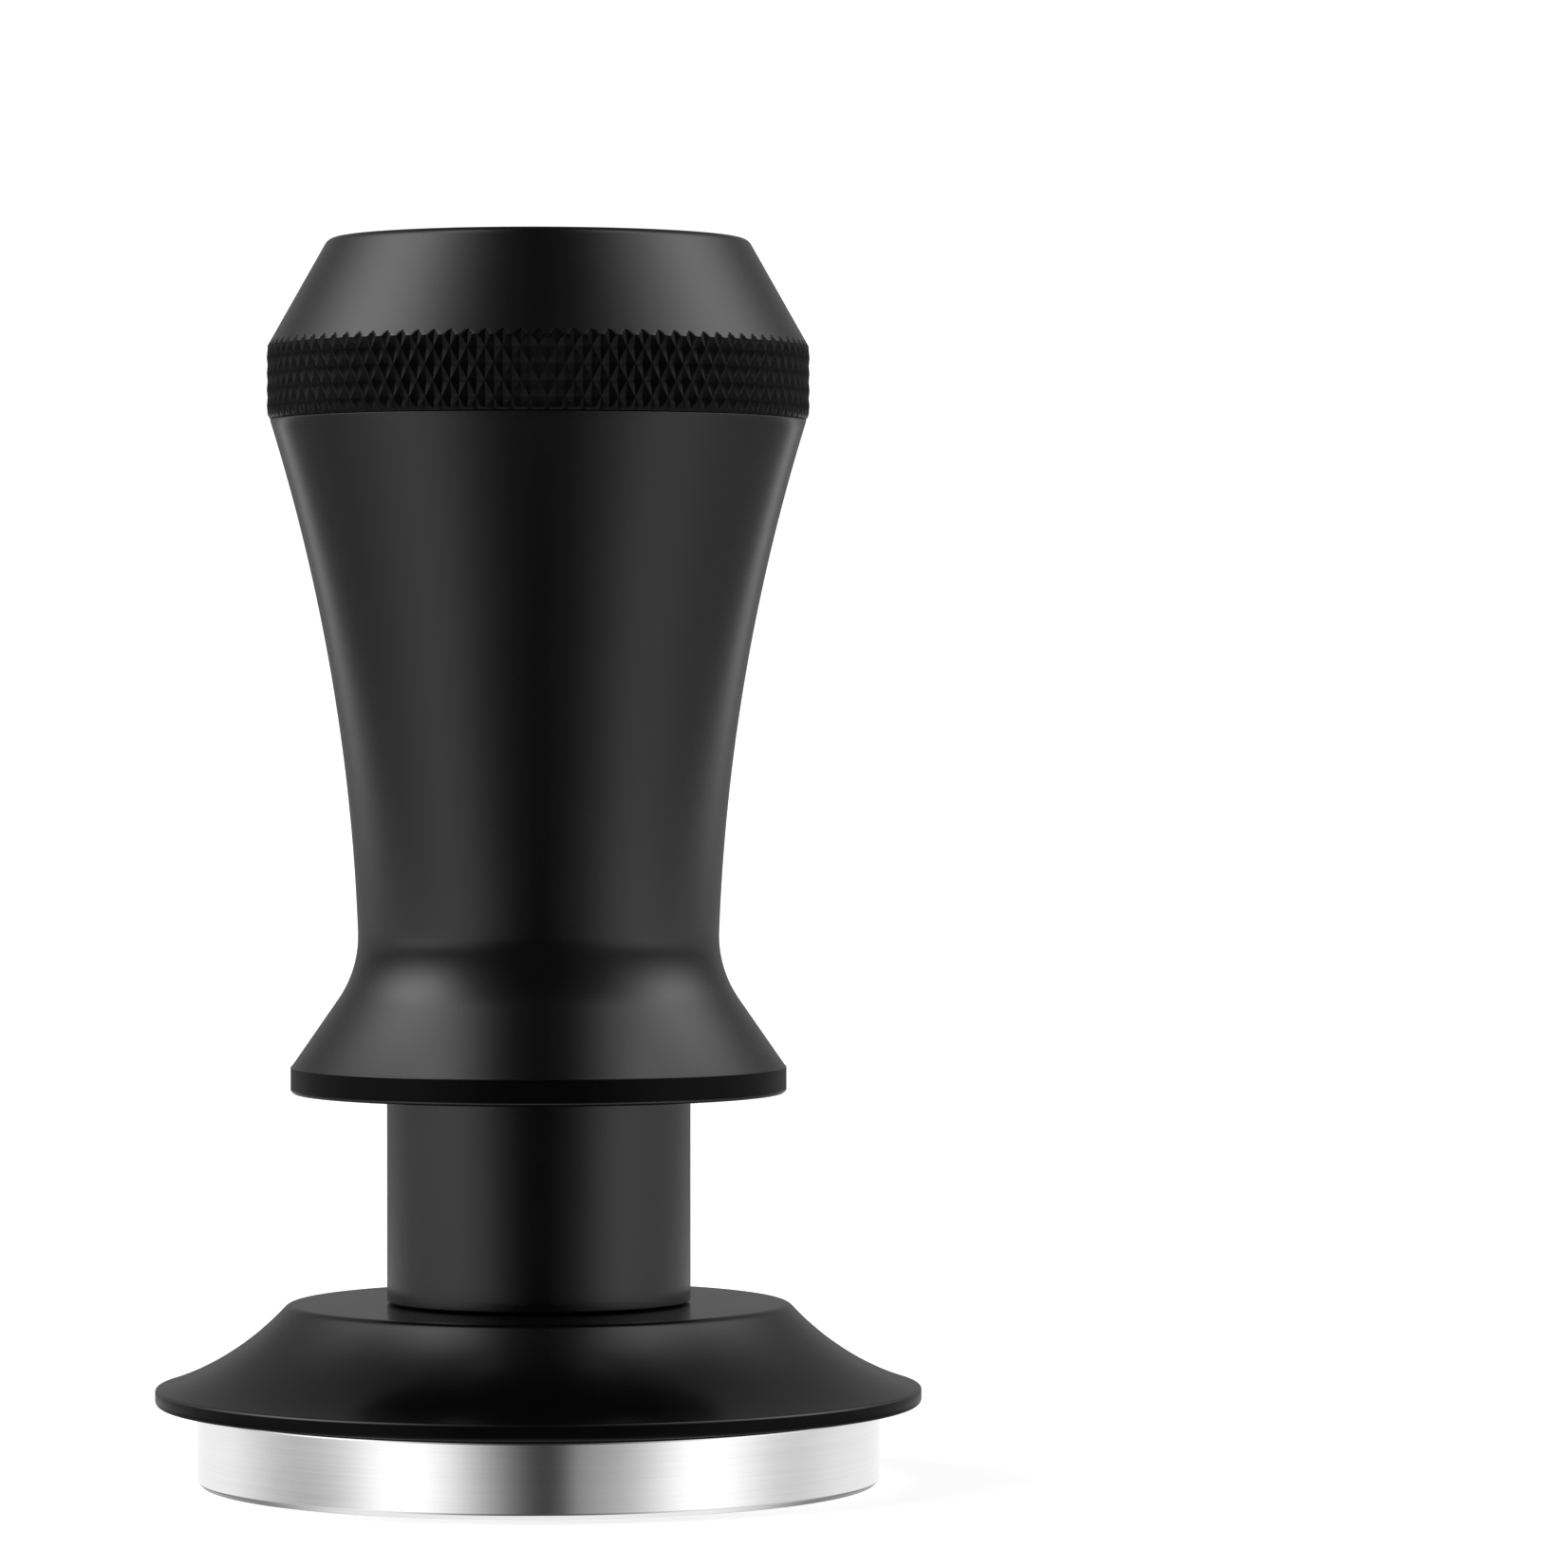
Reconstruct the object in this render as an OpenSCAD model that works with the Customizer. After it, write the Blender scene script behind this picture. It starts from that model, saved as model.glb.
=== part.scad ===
// Espresso tamper: calibrated press and self-levelling collar, standing on its tamping face.
// Millimetres, +Z up, z = 0 on the tamping face, every turned piece about the Z axis.

/* [Base] */
// tamping face diameter
base_d = 53.3; // [51:0.1:54]
// height of the base up to its flat back
base_h = 6.9; // [6:0.1:8]
// chamfer round the tamping edge
base_chamfer = 0.35; // [0.1:0.05:0.6]
// concentric ripple crests in the tamping face
crest_count = 16; // [8:1:16]
// distance from one ripple to the next
ripple_pitch = 1.5; // [1.2:0.05:1.5]
// depth of a ripple
ripple_depth = 0.35; // [0.1:0.05:0.5]
// radius of the innermost crest, round the sunk middle
crest_r = 2.66; // [1.5:0.02:3]

/* [Levelling collar] */
// outer diameter of the collar disc
disc_d = 59.8; // [58:0.1:64]
// underside of the disc rim above the tamping face
rim_z = 6.2; // [5:0.05:7]
// thickness of the disc rim
rim_t = 1.3; // [1:0.05:2.5]
// flat top of the disc above the tamping face
disc_top_z = 14; // [12:0.1:16]
// diameter of the flat top of the disc
disc_top_d = 39.1; // [38:0.1:40]
// radius of the hollow flare of the disc
flare_r = 22.5; // [20:0.1:26]
// outer diameter of the sleeve
sleeve_d = 23.7; // [22:0.1:23.8]
// inner diameter of the sleeve
sleeve_id = 20; // [19:0.1:21]
// top of the sleeve inside the handle
sleeve_top_z = 42; // [40:0.1:42.2]

/* [Handle] */
// underside of the handle flange
handle_z = 30.4; // [30:0.1:32]
// flange diameter
flange_d = 38.7; // [36:0.1:42]
// height of the straight flange rim
flange_rim_h = 2.05; // [1:0.05:3]
// radius of the long hollow flank
flank_r = 153; // [120:0.1:200]
// smallest radius of the long flank
flank_waist_r = 14; // [13.8:0.05:16]
// height of the flank's narrowest point
flank_waist_z = 37.4; // [36:0.1:40]
// radius that blends the foot cone into the flank
foot_blend_r = 8.7; // [6:0.1:9]
// top of the handle body
handle_top_z = 82.9; // [80:0.05:84]

/* [Cap] */
// diameter over the knurled band
knurl_d = 42.3; // [41.8:0.1:44]
// height of the knurled band
knurl_h = 5.55; // [4:0.05:6.5]
// top of the cap
cap_top_z = 97; // [95:0.1:100]
// diameter where the cap's cone meets its top
cap_top_d = 32.7; // [28:0.1:36]

/* [Mechanism] */
// centre rod diameter
rod_d = 12; // [10:0.1:12]
// downward travel of the handle on the rod
press_travel = 5; // [3:0.1:5]
// upward travel of the collar on the rod
level_travel = 10; // [6:0.1:10]
// wire of the calibrated spring
main_wire_d = 2.3; // [1.8:0.1:2.6]
// coils of the calibrated spring
main_coils = 7; // [5:0.5:7.5]
// wire of the collar's return spring
level_wire_d = 0.9; // [0.6:0.1:1]
// coils of the collar's return spring
level_coils = 7; // [5:0.5:7.5]

/* [Hidden] */
$fn = 96;
run = 0.05; // radial running clearance
seat = 0.02; // clearance of pieces that are fixed together
stop_gap = 0.05; // left between stop faces at rest
black = [0.035, 0.035, 0.04];
steel = [0.78, 0.78, 0.79];
polymer = [0.86, 0.85, 0.8];
bronze = [0.62, 0.45, 0.2];
rubber = [0.05, 0.05, 0.05];
arc_steps = 24;
edge_steps = 5;
coil_steps = 20;
wire_sides = 8;

base_r = base_d / 2;
wall_top_z = 5.75;
neck = 0.35;
ripple_half = ripple_pitch * 0.46;
ripple_cut_r = (pow(ripple_half, 2) + pow(ripple_depth, 2)) / (2 * ripple_depth);
hub_r = 10;
hub_z = 9;
rod_r = rod_d / 2;
rod_z = 6.4;
rod_top_z = 63;
rod_neck_r = 4;
rod_neck_h = 3.6;
stud_r = 3;
stud_z = 2.4;
stud_h = 12;
washer_t = 0.5;
cushion_ri = 13;
cushion_ro = 17;

disc_r = disc_d / 2;
rim_edge = 0.4;
flare_rise = 15;
flare_c = [disc_top_d / 2 + sqrt(pow(flare_r, 2) - pow(flare_rise, 2)), disc_top_z + flare_rise];
disc_edge = 1.2;
flare_a0 = asin((flare_rise + disc_edge) / (flare_r + disc_edge)) - 180;
disc_edge_c = flare_c + (flare_r + disc_edge) * [cos(flare_a0), sin(flare_a0)];
flare_a1 = -acos((disc_r - rim_edge / 2 - flare_c[0]) / flare_r);
pocket_r = base_r + 0.35;
pocket_z = 7.4;
spigot_r = sleeve_id / 2 - seat;
spigot_top_z = 19.5;
hub_room_r = hub_r + 0.6;
hub_room_z = hub_z + 0.5;
bush_r = 7.5;
sleeve_r = sleeve_d / 2;
sleeve_chamfer = 0.45;
thrust_t = 0.8;
thrust_z = spigot_top_z + stop_gap;
collar_z = 38;
collar_h = 3.5;
ring_t = 0.8;
ring_r = 7.2;
ring_groove_r = rod_r - 0.5;
ring_z = [collar_z - ring_t, collar_z + collar_h, 51.6];
ring_gap_deg = 60;
level_spring_r = 8.4;

flange_r = flange_d / 2;
flange_edge = 0.4;
foot_p = [flange_r - 0.15, handle_z + flange_rim_h + 0.15];
flank_c = [flank_waist_r + flank_r, flank_waist_z];
blend_z = 43;
blend_a = asin((blend_z - flank_waist_z) / flank_r);
blend_c = flank_c + (flank_r - foot_blend_r) * [-cos(blend_a), sin(blend_a)];
foot_v = blend_c - foot_p;
foot_a = asin(foot_blend_r / norm(foot_v)) - atan2(foot_v[0], foot_v[1]);
handle_edge = 0.15;
flank_top_z = handle_top_z - handle_edge;
flank_a = asin((flank_top_z - flank_waist_z) / flank_r);
flank_top_r = flank_c[0] - flank_r * cos(flank_a);
lower_bore_r = 12;
web_z = 57.5;
web_top_z = 62;
web_bore_r = 8.5;
chamber_r = 12.5;
thread_z = 75;
thread_r = 15.5;
mouth_z = 81.2;
mouth_r = 16.2;
guide_z = 33;
guide_h = 4;
guide_r = 13;
bore_lead = 0.4;

piston_r = 12.2;
piston_h = 4;
piston_top_z = rod_top_z + piston_h;
screw_r = 2.5;
screw_head_r = 4.25;
screw_head_h = 5;
screw_l = 16;
socket_af = 4;
socket_h = 2.8;
main_spring_r = 10;
seat_top_z = 92;
seat_t = 1.55;
seat_pilot_h = 1.8;
seat_pilot_r = 8.6;
seat_bore_r = 4;

knurl_r = knurl_d / 2;
cap_z = handle_top_z + stop_gap;
knurl_top_z = cap_z + knurl_h;
cap_edge = 0.9;
knurl_foot = [0.25, 0.45];
cap_bore_r = 12.5;
spigot_z = 75.6;
o_ring_r = 0.7;
o_ring_z = 82.05;
o_ring_c = mouth_r - run - o_ring_r;
o_groove_r = o_ring_c - o_ring_r - seat;
o_groove_h = 1.7;
cone_start_r = knurl_r - 0.15;
cap_dish = 0.35;

// points of a circular arc from angle a0 to a1 about c
function arc(c, r, a0, a1, n) =
  [for (i = [0 : n]) let (a = a0 + (a1 - a0) * i / n) c + r * [cos(a), sin(a)]];

// ring of rectangular section with small chamfers on its outer edges
module ring(ri, ro, z, h, c = 0.1) {
  rotate_extrude()
    polygon([[ri, z], [ro - c, z], [ro, z + c], [ro, z + h - c], [ro - c, z + h], [ri, z + h]]);
}

// wire coil with closed, flattened ends, standing between z and z + h
module coil(r, wire_r, turns, z, h) {
  n = round(turns * coil_steps);
  rise = h - 2 * wire_r;
  // the first and last turns lie almost flat, so the pitch eases in and out
  lift = function (t) let (e = 0.9 / turns, k = min(max((t - e) / (1 - 2 * e), 0), 1))
    rise * (0.1 * t + 0.9 * k);
  pts = [for (i = [0 : n]) let (t = i / n, a = 360 * turns * t)
    for (j = [0 : wire_sides - 1]) let (b = 360 * j / wire_sides, q = r + wire_r * cos(b))
      [q * cos(a), q * sin(a), z + wire_r + lift(t) + wire_r * sin(b)]];
  sides = [for (i = [0 : n - 1]) for (j = [0 : wire_sides - 1])
    let (p = i * wire_sides + j, q = i * wire_sides + (j + 1) % wire_sides)
      [p, q, q + wire_sides, p + wire_sides]];
  start = [for (j = [wire_sides - 1 : -1 : 0]) j];
  end = [for (j = [0 : wire_sides - 1]) n * wire_sides + j];
  polyhedron(pts, concat(sides, [start, end]));
}

module tamping_base() {
  color(steel)
    rotate_extrude()
      difference() {
        polygon([
          [0, 0], [base_r - base_chamfer, 0], [base_r, base_chamfer],
          [base_r, wall_top_z], [base_r - neck, wall_top_z + neck],
          [base_r - neck, base_h - neck], [base_r - 2 * neck, base_h],
          [hub_r, base_h], [hub_r, hub_z - base_chamfer], [hub_r - base_chamfer, hub_z],
          [rod_r + seat, hub_z], [rod_r + seat, rod_z - washer_t],
          [stud_r + seat, rod_z - washer_t], [stud_r + seat, stud_z - seat], [0, stud_z - seat]
        ]);
        for (i = [0 : crest_count - 2])
          translate([crest_r + (i + 0.5) * ripple_pitch, ripple_depth - ripple_cut_r])
            circle(r = ripple_cut_r);
        translate([0, -ripple_depth]) square([crest_r - ripple_pitch / 3, 2 * ripple_depth]);
      }
}

module base_stud() {
  color(steel)
    rotate_extrude()
      polygon([
        [0, stud_z], [stud_r - base_chamfer, stud_z], [stud_r, stud_z + base_chamfer],
        [stud_r, stud_z + stud_h - base_chamfer], [stud_r - base_chamfer, stud_z + stud_h],
        [0, stud_z + stud_h]
      ]);
}

module base_washer() {
  color(steel) ring(stud_r + run, rod_r - run, rod_z - washer_t, washer_t, 0.05);
}

module centre_rod() {
  color(steel)
    difference() {
      rotate_extrude()
        polygon([
          [stud_r + seat, rod_z], [rod_r - base_chamfer, rod_z], [rod_r, rod_z + base_chamfer],
          [rod_r, rod_top_z - base_chamfer], [rod_r - base_chamfer, rod_top_z],
          [rod_neck_r, rod_top_z], [rod_neck_r, rod_top_z + rod_neck_h],
          [screw_r + seat, rod_top_z + rod_neck_h], [screw_r + seat, piston_top_z - screw_l],
          [0, piston_top_z - screw_l], [0, stud_z + stud_h + seat],
          [stud_r + seat, stud_z + stud_h + seat]
        ]);
      for (z = ring_z)
        rotate_extrude()
          translate([ring_groove_r, z - seat]) square([rod_d, ring_t + 2 * seat]);
    }
}

module rest_cushion() {
  color(rubber) ring(cushion_ri, cushion_ro, base_h, pocket_z - base_h - stop_gap);
}

module guide_collar() {
  color(polymer)
    ring(rod_r + seat, sleeve_id / 2 - run, collar_z, collar_h, bore_lead);
}

module retaining_ring(z) {
  difference() {
    ring(ring_groove_r + seat, ring_r, z, ring_t, 0.05);
    rotate([0, 0, -ring_gap_deg / 2])
      rotate_extrude(angle = ring_gap_deg)
        translate([rod_r - run - ring_t, z - ring_t]) square([rod_d, 3 * ring_t]);
  }
}

module retaining_rings() {
  color(steel) for (z = ring_z) retaining_ring(z);
}

module piston_head() {
  color(steel)
    ring(rod_neck_r + seat, piston_r, rod_top_z, piston_h, bore_lead);
}

module head_washer() {
  color(steel) ring(screw_r + run, ring_r, piston_top_z, washer_t * 2);
}

module head_screw() {
  top = piston_top_z + 2 * washer_t;
  color(steel)
    difference() {
      rotate_extrude()
        polygon([
          [0, piston_top_z - screw_l + 1], [screw_r - base_chamfer, piston_top_z - screw_l + 1],
          [screw_r, piston_top_z - screw_l + 1 + base_chamfer], [screw_r, top],
          [screw_head_r, top], [screw_head_r, top + screw_head_h - base_chamfer],
          [screw_head_r - base_chamfer, top + screw_head_h], [0, top + screw_head_h]
        ]);
      translate([0, 0, top + screw_head_h - socket_h])
        cylinder(r = socket_af / sqrt(3), h = screw_head_h, $fn = 6);
    }
}

module main_spring() {
  color(steel)
    coil(main_spring_r, main_wire_d / 2, main_coils, piston_top_z,
      seat_top_z - stop_gap - seat_t - piston_top_z);
}

module leveler_spring() {
  low = thrust_z + thrust_t;
  color(steel)
    coil(level_spring_r, level_wire_d / 2, level_coils, low, collar_z - low);
}

module thrust_washer() {
  color(bronze) ring(rod_r + run, spigot_r - run, thrust_z, thrust_t);
}

module leveler_disc() {
  color(black)
    rotate_extrude()
      polygon(concat(
        [[pocket_r, rim_z]],
        arc([disc_r - rim_edge, rim_z + rim_edge], rim_edge, -90, 0, edge_steps),
        arc([disc_r - rim_edge, rim_z + rim_t - rim_edge + 0.1], rim_edge, 0, 65, edge_steps),
        arc(flare_c, flare_r, flare_a1, flare_a0, arc_steps),
        arc(disc_edge_c, disc_edge, flare_a0 + 180, 90, edge_steps),
        [
          [spigot_r, disc_top_z], [spigot_r, spigot_top_z - base_chamfer],
          [spigot_r - base_chamfer, spigot_top_z], [bush_r + seat, spigot_top_z],
          [bush_r + seat, hub_room_z], [hub_room_r, hub_room_z], [hub_room_r, pocket_z],
          [pocket_r, pocket_z]
        ]
      ));
}

module leveler_sleeve() {
  color(black)
    rotate_extrude()
      polygon([
        [sleeve_id / 2, disc_top_z], [sleeve_r - sleeve_chamfer, disc_top_z],
        [sleeve_r, disc_top_z + sleeve_chamfer], [sleeve_r, sleeve_top_z - bore_lead],
        [sleeve_r - bore_lead, sleeve_top_z], [sleeve_id / 2 + bore_lead, sleeve_top_z],
        [sleeve_id / 2, sleeve_top_z - bore_lead]
      ]);
}

module leveler_bush() {
  color(polymer) ring(rod_r + run, bush_r, hub_room_z, spigot_top_z - hub_room_z - seat);
}

module stop_washer() {
  color(bronze)
    ring(rod_r + run, piston_r - run, web_top_z + seat, rod_top_z - web_top_z - 2 * seat);
}

// outside of the handle, from the flange's underside up to its mouth
function handle_outline() = concat(
  arc([flange_r - flange_edge, handle_z + flange_edge], flange_edge, -90, 0, edge_steps),
  [[flange_r, handle_z + flange_rim_h], foot_p],
  arc(blend_c, foot_blend_r, 180 + foot_a, 180 - blend_a, arc_steps / 2),
  [for (p = arc(flank_c, flank_r, 180 - blend_a, 180 - flank_a, arc_steps)) if (p[1] > blend_z + run) p],
  [[flank_top_r - handle_edge, handle_top_z]]
);

module handle_body() {
  color(black)
    rotate_extrude()
      polygon(concat(
        [[lower_bore_r + bore_lead, handle_z]],
        handle_outline(),
        [
          [mouth_r, handle_top_z], [mouth_r, mouth_z], [thread_r + run, mouth_z - (mouth_r - thread_r)],
          [thread_r + run, thread_z], [chamber_r, thread_z], [chamber_r, web_top_z],
          [web_bore_r + seat, web_top_z], [web_bore_r + seat, web_z], [lower_bore_r, web_z],
          [lower_bore_r, guide_z + guide_h + seat], [guide_r + seat, guide_z + guide_h + seat],
          [guide_r + seat, guide_z - seat], [lower_bore_r, guide_z - seat],
          [lower_bore_r, handle_z + bore_lead]
        ]
      ));
}

module web_bush() {
  color(polymer) ring(rod_r + run, web_bore_r, web_z + seat, web_top_z - web_z - 2 * seat);
}

module sleeve_guide_ring() {
  color(polymer) ring(sleeve_r + run, guide_r, guide_z, guide_h, 0.15);
}

module upper_spring_seat() {
  top = seat_top_z - stop_gap;
  color(steel)
    rotate_extrude()
      polygon([
        [seat_bore_r, top - seat_t - seat_pilot_h], [seat_pilot_r - bore_lead, top - seat_t - seat_pilot_h],
        [seat_pilot_r, top - seat_t - seat_pilot_h + bore_lead], [seat_pilot_r, top - seat_t],
        [cap_bore_r - stop_gap * 4, top - seat_t], [cap_bore_r - stop_gap * 4, top], [seat_bore_r, top]
      ]);
}

module top_cap() {
  edge = atan2(cone_start_r - cap_top_d / 2, cap_top_z - knurl_top_z);
  color(black)
    rotate_extrude()
      polygon(concat(
        [
          [cap_bore_r, spigot_z], [thread_r - bore_lead, spigot_z], [thread_r, spigot_z + bore_lead],
          [thread_r, o_ring_z - o_groove_h / 2], [o_groove_r, o_ring_z - o_groove_h / 2],
          [o_groove_r, o_ring_z + o_groove_h / 2], [mouth_r - run, o_ring_z + o_groove_h / 2],
          [mouth_r - run, cap_z], [knurl_r - knurl_foot[0], cap_z], [knurl_r, cap_z + knurl_foot[1]],
          [knurl_r, knurl_top_z], [cone_start_r, knurl_top_z + 0.27]
        ],
        arc([cap_top_d / 2 - cap_edge * tan(45 - edge / 2), cap_top_z - cap_edge], cap_edge, edge, 90, edge_steps),
        [[cap_top_d / 2 - 2, cap_top_z], [0, cap_top_z - cap_dish], [0, seat_top_z], [cap_bore_r, seat_top_z]]
      ));
}

module cap_o_ring() {
  color(rubber) rotate_extrude() translate([o_ring_c, o_ring_z]) circle(r = o_ring_r);
}

tamping_base();
base_stud();
base_washer();
centre_rod();
rest_cushion();
guide_collar();
retaining_rings();
piston_head();
head_washer();
head_screw();
main_spring();
leveler_spring();
thrust_washer();
leveler_disc();
leveler_sleeve();
leveler_bush();
stop_washer();
handle_body();
web_bush();
sleeve_guide_ring();
upper_spring_seat();
top_cap();
cap_o_ring();
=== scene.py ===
import math

import bpy
import numpy as np
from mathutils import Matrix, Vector


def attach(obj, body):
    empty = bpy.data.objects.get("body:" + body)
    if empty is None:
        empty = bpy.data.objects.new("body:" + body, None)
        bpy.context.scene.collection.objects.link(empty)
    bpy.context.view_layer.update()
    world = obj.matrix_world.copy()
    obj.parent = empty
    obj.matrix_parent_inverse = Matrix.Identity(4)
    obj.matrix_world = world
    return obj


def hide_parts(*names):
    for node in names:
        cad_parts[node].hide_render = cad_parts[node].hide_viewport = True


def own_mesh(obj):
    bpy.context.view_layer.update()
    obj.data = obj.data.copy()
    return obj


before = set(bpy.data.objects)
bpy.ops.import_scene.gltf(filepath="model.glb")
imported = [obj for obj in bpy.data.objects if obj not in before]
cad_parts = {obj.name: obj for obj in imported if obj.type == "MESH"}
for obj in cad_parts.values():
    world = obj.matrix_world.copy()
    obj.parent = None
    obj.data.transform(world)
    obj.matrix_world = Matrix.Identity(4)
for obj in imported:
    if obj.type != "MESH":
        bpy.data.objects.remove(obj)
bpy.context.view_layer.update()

MM = 0.001
TURN = 2 * math.pi

# turned sizes in millimetres; small edge radii, undercuts and the knurl are finer here than in the CAD
BASE_R, BASE_CHAMFER, WALL_TOP, BASE_H, NECK = 26.65, 0.35, 5.75, 6.9, 0.35
CREST_R, RIPPLE_PITCH, RIPPLE_DEPTH, RIPPLES = 2.66, 1.5, 0.35, 15
HUB_R, HUB_TOP, ROD_R, ROD_FOOT = 10.0, 9.0, 6.0, 5.9
STUD_R, STUD_FOOT = 3.02, 2.38
DISC_R, RIM_Z, RIM_T, RIM_EDGE, RIM_NOSE = 29.9, 6.2, 1.3, 0.4, 0.25
DISC_TOP, DISC_TOP_R, DISC_EDGE = 14.0, 19.55, 1.05
FLARE_R, FLARE_RISE = 22.5, 15.0
POCKET_R, POCKET_Z, HUB_ROOM_R, HUB_ROOM_Z = 27.0, 7.4, 10.6, 9.5
SPIGOT_R, SPIGOT_TOP, BUSH_R = 9.98, 19.5, 7.52
SLEEVE_R, SLEEVE_IN, SLEEVE_TOP, SLEEVE_UNDERCUT = 11.85, 10.0, 42.0, 0.25
HANDLE_Z, FLANGE_R, FLANGE_RIM, HANDLE_TOP = 30.4, 19.35, 2.05, 82.9
FLANK_R, WAIST_R, WAIST_Z, BLEND_R, BLEND_Z, FLANK_TOP = 153.0, 14.0, 37.4, 8.7, 43.0, 82.75
LOWER_BORE, GUIDE_R, GUIDE_Z, GUIDE_TOP = 12.0, 13.02, 32.98, 37.02
WEB_Z, WEB_TOP, WEB_BORE, CHAMBER_R = 57.5, 62.0, 8.52, 12.5
THREAD_FOOT, THREAD_TOP, MOUTH_R = 75.0, 81.2, 16.2
THREAD_PITCH, MALE_ROOT, MALE_CREST, THREAD_GAP = 1.5, 15.0, 15.85, 0.12
KNURL_R, CAP_Z, KNURL_TOP, CAP_TOP, CAP_TOP_R, CAP_EDGE = 21.15, 82.95, 88.5, 97.0, 16.35, 0.9
SPIGOT_FOOT, CAP_BORE, CAP_CEILING, CAP_DISH = 75.6, 12.5, 92.0, 0.35
O_GROOVE_R, O_GROOVE_LOW, O_GROOVE_HIGH, CAP_NECK_R = 14.73, 81.2, 82.9, 16.15
KNURL_TEETH, KNURL_STEPS, KNURL_ROW, KNURL_DEPTH, KNURL_ZERO = 98, 4, 1.26, 0.31, 87.72
KNURL_SADDLE, KNURL_FOOT, KNURL_FOOT_H = 0.4, 0.25, 0.45
MAIN_R, MAIN_WIRE, MAIN_FOOT, MAIN_TOP, PRESS_TRAVEL = 10, 2.3, 67, 90.4, 5
LIGHT_R, LIGHT_WIRE, LIGHT_FOOT, LIGHT_TOP, SLIDE_TRAVEL = 8.4, 0.9, 20.35, 38, 10
SPRING_TURNS = 7


# ---------------------------------------------------------------- shape tools

def arc(centre, radius, start, end, steps):
    """Points of a circular arc, angles in radians."""
    angles = [start + (end - start) * i / steps for i in range(steps + 1)]
    return [(centre[0] + radius * math.cos(a), centre[1] + radius * math.sin(a)) for a in angles]


def softened(corners, steps=5, margin=0.12):
    """A polyline's points, with an arc at each corner given as (r, z, edge radius).

    A point a margin away from each arc keeps the shading of the straight stretch beside it flat.
    """
    out = []
    for i, corner in enumerate(corners):
        if len(corner) == 2 or i in (0, len(corners) - 1):
            out.append(tuple(corner[:2]))
            continue
        p, a, b = (Vector(corners[k][:2]) for k in (i, i - 1, i + 1))
        u, v = (a - p).normalized(), (b - p).normalized()
        half = u.angle(v) / 2
        reach = min(corner[2] / math.tan(half), (a - p).length * 0.45, (b - p).length * 0.45)
        radius = reach * math.tan(half)
        centre = p + (u + v).normalized() * (radius / math.sin(half))
        first, last = p + u * reach - centre, p + v * reach - centre
        begin = math.atan2(first.y, first.x)
        sweep = (math.atan2(last.y, last.x) - begin + math.pi) % TURN - math.pi
        before, after = ((end - p).length * 0.45 - reach > margin for end in (a, b))
        out += [tuple(p + u * (reach + margin))] if before else []
        out += arc(centre, radius, begin, begin + sweep, steps)
        out += [tuple(p + v * (reach + margin))] if after else []
    return out


def rows(points, kind=""):
    return [(r, z, kind) for r, z in points]


def levels(low, high, step):
    count = max(1, round((high - low) / step))
    return [low + (high - low) * i / count for i in range(count + 1)]


def radii_of(kind, r, z, angles):
    """The radius at each angle of one row: round, threaded or knurled."""
    if kind in ("male", "female"):
        return thread_radius(kind, z, angles)
    if kind == "knurl":
        return np.minimum(r, KNURL_R - knurl_sink(z, angles))
    return np.full(len(angles), float(r))


def thread_radius(kind, z, angles):
    """A right-hand 60 degree thread: crest, flank and root, fading out at both ends."""
    male, female = (SPIGOT_FOOT + 0.35, O_GROOVE_LOW - 0.25), (THREAD_FOOT, THREAD_TOP - 0.7)
    low, high = male if kind == "male" else female
    phase = (z / THREAD_PITCH - angles / TURN) % 1.0
    tooth = np.clip((0.5 - np.abs(phase - 0.5)) * 3.2 - 0.4, 0, 1)
    fade = min(1.0, max(0.0, (z - low) / 0.7)) * min(1.0, max(0.0, (high - z) / 0.7))
    if kind == "male":
        return MALE_ROOT + (MALE_CREST - MALE_ROOT) * tooth * fade
    return MALE_CREST + THREAD_GAP - (MALE_CREST - MALE_ROOT) * (1 - tooth) * fade


def knurl_distance(z, angles):
    """How far each point is from the nearest ridge of each hand: 0 on the ridge, 1 midway between two."""
    around, along = KNURL_TEETH * angles / TURN, (z - KNURL_ZERO) / (2 * KNURL_ROW)
    first, second = around + along + 0.5, around - along + 0.5
    return [2 * np.abs(u - np.round(u)) for u in (first, second)]


def knurl_sink(z, angles):
    one, two = knurl_distance(z, angles)
    return KNURL_DEPTH * (KNURL_SADDLE * (one + two) / 2 + (1 - KNURL_SADDLE) * np.minimum(one, two))


def quads(first, second, columns):
    j = np.arange(columns)
    k = (j + 1) % columns
    return np.stack([first + j, first + k, second + k, second + j], 1).tolist()


def fan(pole, ring, columns, upward):
    j = np.arange(columns)
    k = (j + 1) % columns
    centre = np.full(columns, pole)
    order = [centre, ring + k, ring + j] if upward else [centre, ring + j, ring + k]
    return np.stack(order, 1).tolist()


def ridge_triangles(first, second, columns, z):
    """Splits each quad of a knurled row along the ridge that crosses it."""
    j = np.arange(columns)
    k = (j + 1) % columns
    one, two = knurl_distance(z, (j + 0.5) * TURN / columns)
    rising = (one > two)[:, None]
    a, b, c, d = first + j, first + k, second + k, second + j
    left = np.where(rising, np.stack([a, b, c], 1), np.stack([a, b, d], 1))
    right = np.where(rising, np.stack([a, c, d], 1), np.stack([b, c, d], 1))
    return left.tolist() + right.tolist()


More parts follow.
